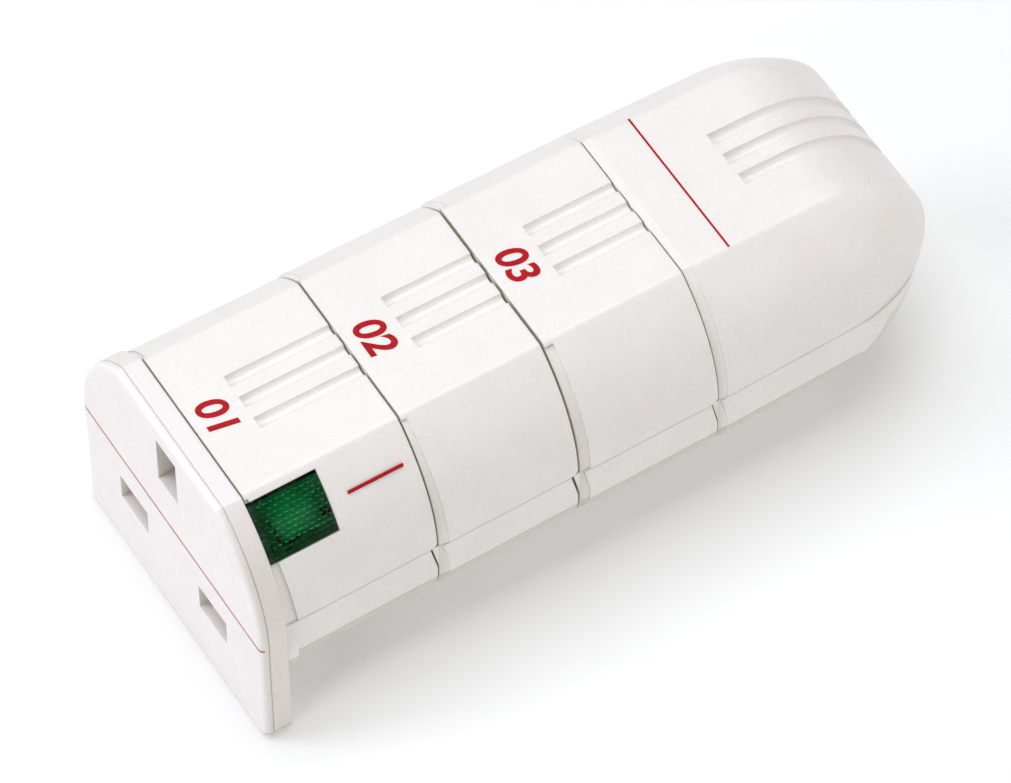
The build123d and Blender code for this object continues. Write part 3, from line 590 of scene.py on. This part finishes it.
def make_lens_block():
    """Block behind the skin: a curved bed, with staggered short ridges and the fine braces between them."""
    names = ["lens_field", "lens_rim", "lens_shadow", "lens_brace", "lens_glint", "lens_spark"]
    rim_look, shadow_look = names.index("lens_rim"), names.index("lens_shadow")
    bed = shoulder_radius - prism_sink
    work = bmesh.new()

    across, along = prism_columns * bed_steps, prism_rows * bed_steps
    outer = [[work.verts.new(lens_point(u / across, v / along, bed)) for u in range(across + 1)]
             for v in range(along + 1)]
    inner = [[work.verts.new(lens_point(u / across, v / along, shoulder_radius - lens_depth))
              for u in range(across + 1)] for v in range(along + 1)]
    for v in range(along):
        for u in range(across):
            face = work.faces.new((outer[v][u], outer[v][u + 1], outer[v + 1][u + 1], outer[v + 1][u]))
            face.material_index = names.index(bed_look((u + 0.5) / bed_steps, (v + 0.5) / bed_steps))
            back = work.faces.new((inner[v][u], inner[v + 1][u], inner[v + 1][u + 1], inner[v][u + 1]))
            back.material_index = rim_look
    # The block's sides take the painted shadow
    rims = [(outer[0], inner[0]), (outer[-1], inner[-1]), ([r[0] for r in outer], [r[0] for r in inner]),
            ([r[-1] for r in outer], [r[-1] for r in inner])]
    for a, b in rims:
        for k in range(len(a) - 1):
            side = work.faces.new((a[k], a[k + 1], b[k + 1], b[k]))
            side.material_index = shadow_look

    for j in range(prism_rows - 1):
        for i in range(prism_columns):
            u = i + ridge_start + ridge_stagger * (j % 2) + ridge_scatter * chance(i, j, 1)
            v = j + ridge_half_row + ridge_scatter * chance(i, j, 2)
            half = prism_reach * (reach_least + reach_scatter * chance(i, j, 3))
            left, right = max(prism_margin, u - half), min(prism_columns - prism_margin, u + half)
            dim = bed_look(u, v) == "lens_rim"
            if dim and chance(i, j, 5) < dim_left_out:
                continue
            height = v - spark_slope * (u - spark_pivot)
            spark = spark_low < height < spark_high and u > spark_from
            # Ridges and their braces are coloured lighter than the bed as painted highlights: brightest in
            # the row in front of the lamp, dimmer in the rim
            look = "lens_spark" if spark else ("lens_brace" if dim else "lens_glint")
            thick = prism_width * (width_least + width_scatter * chance(i, j, 4))
            if dim:
                thick *= dim_narrower
            lens_ridge(work, (left, v), (right, v - prism_tilt), thick, prism_rise, names.index(look))
            if not dim and right + brace_room < prism_columns and chance(i, j, 6) < brace_share:
                low_end = (right + brace_start[0], v + brace_start[1])
                high_end = (right + brace_end[0], v + brace_end[1])
                lens_ridge(work, low_end, high_end, brace_width, prism_rise / 2, names.index("lens_brace"))
    bmesh.ops.recalc_face_normals(work, faces=work.faces)
    mesh = bpy.data.meshes.new("lens_prisms")
    work.to_mesh(mesh)
    work.free()
    for look in names:
        mesh.materials.append(looks[look])
    new_piece("lens_prisms", mesh, None, "socket_unit")


def make_lens():
    """Tinted outer skin of the lens, flush with the shell, over the ribbed block."""
    def outer(u, v):
        return lens_point(u, v, shoulder_radius)

    def inner(u, v):
        return lens_point(u, v, shoulder_radius - lens_skin)
    clear = mesh_of("lens_clear", lambda work: tile(work, outer, inner, *skin_steps), True)
    piece = new_piece("lens_clear", clear, "lens_clear", "socket_unit")
    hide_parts("lamp_lens")
    make_lens_block()


def make_spring():
    """Return spring over the shutter: a coiled wire that stands in for the CAD spring."""
    low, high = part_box("shutter_spring")
    middle = (Vector(low) + Vector(high)) / 2
    wire = spring_wire * MM / 2
    radius = (high[0] - low[0]) / 2 - wire
    start, end = low[2] + wire, high[2] - wire
    count = spring_turns * spring_steps

    def ring(work, k):
        turn = 2 * math.pi * k / spring_steps
        out = Vector((math.cos(turn), math.sin(turn), 0))
        centre = Vector((middle.x, middle.y, start + (end - start) * k / count)) + radius * out
        sides = [2 * math.pi * i / spring_sides for i in range(spring_sides)]
        return [work.verts.new(centre + wire * (math.cos(a) * out + math.sin(a) * Vector((0, 0, 1))))
                for a in sides]

    def build(work):
        rings = [ring(work, k) for k in range(count + 1)]
        for a, b in zip(rings, rings[1:]):
            for i in range(spring_sides):
                j = (i + 1) % spring_sides
                work.faces.new((a[i], a[j], b[j], b[i]))
        work.faces.new(rings[0])
        work.faces.new(rings[-1])
    mesh = mesh_of("return_spring", build, True)
    spring = new_piece("return_spring", mesh, "spring_steel", "socket_unit")
    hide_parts("shutter_spring")
    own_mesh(spring)


def text_mesh(name, words, height_mm):
    """Mesh of a short text, its middle at the origin, standing a film of ink thick."""
    curve = bpy.data.curves.new(name, "FONT")
    curve.body = words
    curve.align_x = "CENTER"
    curve.align_y = "CENTER"
    curve.size = height_mm * MM / numeral_share
    curve.offset = numeral_bold * height_mm * MM
    curve.shear = numeral_slant
    curve.extrude = ink_thickness * MM / 2
    curve.resolution_u = 8
    holder = bpy.data.objects.new(name, curve)
    bpy.context.scene.collection.objects.link(holder)
    bpy.context.view_layer.update()
    mesh = bpy.data.meshes.new_from_object(holder.evaluated_get(bpy.context.evaluated_depsgraph_get()))
    bpy.data.objects.remove(holder)
    mesh.name = name
    return mesh


def make_numeral(body, front, words):
    """Printed numeral on a module's flat top, read from the near side with its head towards the cap."""
    mesh = text_mesh(f"numeral_{words}", words, numeral_height)
    slope = math.radians(draft)
    head = Vector((math.cos(slope), 0, -math.sin(slope)))
    side = Vector((0, -1, 0))
    out = side.cross(head)
    place = mm(front + numeral_from_front, 0, top_height - numeral_from_front * math.tan(slope))
    mesh.transform(Matrix((side, head, out)).transposed().to_4x4())
    mesh.transform(Matrix.Translation(place))
    new_piece(f"numeral_{words}", mesh, "ink_red", body)


def strip(name, point, length_steps, width, out, body):
    """Thin printed strip that follows point(t), t from 0 to 1, of a width along X and standing out(t)."""
    def build(work):
        rows = []
        for k in range(length_steps + 1):
            t = k / length_steps
            rise = out(t) * ink_thickness * MM
            row = []
            for dx, up in ((-1, 0), (-1, 1), (1, 1), (1, 0), (-1, 0)):
                row.append(work.verts.new(point(t, dx * width / 2) + rise * up - rise * ink_sunk))
            rows.append(row)
        grid_faces(work, rows)
        bmesh.ops.remove_doubles(work, verts=work.verts, dist=1e-7)
        ends = [e for e in work.edges if e.is_boundary]
        bmesh.ops.holes_fill(work, edges=ends, sides=8)
    new_piece(name, mesh_of(name, build), "ink_red", body)


def make_stripes():
    """Plain pinstripes across the cap and the socket face, and a short bar that points at the lens."""
    slope = math.tan(math.radians(cap_draft))

    def cap_point(t, d):
        x = cap_stripe_x + d
        return mm(x, cap_stripe_half * (1 - 2 * t), cap_top_height - slope * (x - cap_front))

    def face_turn(t):
        reach = face_stripe_half * (1 - 2 * t)
        flat = min(abs(reach), face_flat_half)
        return math.copysign(1, reach), flat, (abs(reach) - flat) / plate_edge_radius

    def face_point(t, d):
        side, flat, turn = face_turn(t)
        return mm(plate_edge_radius * (1 - math.cos(turn)),
                  side * (flat + plate_edge_radius * math.sin(turn)), face_stripe_height + d)

    def face_out(t):
        side, _, turn = face_turn(t)
        return Vector((-math.cos(turn), side * math.sin(turn), 0))

    def mark_point(t, d):
        arc = math.degrees(d / shoulder_radius)
        return on_shoulder(mark_from + t * mark_length, mark_angle + arc)

    strip("cap_stripe", cap_point, 12, stripe_width, lambda t: Vector((0, 0, 1)), "end_cap")
    strip("face_stripe", face_point, 160, stripe_width, face_out, "socket_unit")
    facing = math.radians(mark_angle)
    away = Vector((0, -math.cos(facing), math.sin(facing)))
    strip("lamp_mark", mark_point, 6, mark_width, lambda t: away, "socket_unit")


def dress_nodes():
    """Every CAD node gets the material of its slot."""
    for row in frame["record"]["subparts"]:
        look = row["material_slot"]
        mesh = nodes[row["node"]].data
        mesh.materials.clear()
        mesh.materials.append(looks["lens_clear" if look == "lens_green" else look])


# Scene


def make_floor():
    """Pale sweep under the foot of the face plate."""
    half = 1.5
    rest = -0.00002
    mesh = bpy.data.meshes.new("floor")
    corners = [(-half, -half, rest), (half, -half, rest), (half, half, rest), (-half, half, rest)]
    mesh.from_pydata(corners, [], [(0, 1, 2, 3)])
    floor = bpy.data.objects.new("floor", mesh)
    bpy.context.scene.collection.objects.link(floor)
    mesh.materials.append(looks["floor"])


def make_light(name, place, size, power, colour=(1.0, 1.0, 1.0)):
    """Square soft light aimed at the middle of the stack."""
    data = bpy.data.lights.new(name, "AREA")
    data.size = size
    data.energy = power
    data.color = colour
    light = bpy.data.objects.new(name, data)
    light.location = place
    aim = Vector((0, 0, 0.025)) - Vector(place)
    light.rotation_mode = "QUATERNION"
    light.rotation_quaternion = aim.to_track_quat("-Z", "Y")
    bpy.context.scene.collection.objects.link(light)


def make_world(strength):
    """Even white surround."""
    world = bpy.data.worlds.new("surround")
    world.use_nodes = True
    background = world.node_tree.nodes["Background"]
    background.inputs["Color"].default_value = (1.0, 1.0, 1.0, 1.0)
    background.inputs["Strength"].default_value = strength
    bpy.context.scene.world = world


def make_camera():
    """Long lens at the photograph's angle."""
    a, e, r = math.radians(azimuth), math.radians(elevation), math.radians(roll)
    back = Vector((math.sin(a) * math.cos(e), -math.cos(a) * math.cos(e), math.sin(e)))
    level = Vector((0, 0, 1)).cross(back).normalized()
    rise = back.cross(level)
    right = math.cos(r) * level + math.sin(r) * rise
    up = math.cos(r) * rise - math.sin(r) * level
    data = bpy.data.cameras.new("camera")
    data.sensor_width = sensor_width
    data.lens = focal_px / image_width_px * sensor_width
    data.clip_start = 0.05
    data.clip_end = 20.0
    camera = bpy.data.objects.new("camera", data)
    place = mm(*target) + (distance * back - off_right * right - off_up * up) * MM
    camera.matrix_world = Matrix.Translation(place) @ Matrix((right, up, back)).transposed().to_4x4()
    bpy.context.scene.collection.objects.link(camera)
    bpy.context.scene.camera = camera


dress_nodes()
make_lens()
make_spring()
for number, (module_body, module_front) in enumerate(module_fronts.items(), start=1):
    make_numeral(module_body, module_front, f"0{number}")
make_stripes()

make_floor()
make_world(0.09)
make_light("over", (0.0, 0.15, 1.2), 0.9, 11.0, cool_light)
make_light("front", (-0.9, 0.5, 0.8), 0.5, 5.5, cool_light)
make_light("low", (-1.15, -0.4, 0.5), 0.4, 3.6)
make_light("near", (0.55, -1.0, 0.3), 0.6, 1.9, warm_light)
make_light("end", (1.1, -0.5, 0.45), 0.5, 2.6, warm_light)
make_camera()
bpy.context.scene.view_settings.view_transform = "Standard"
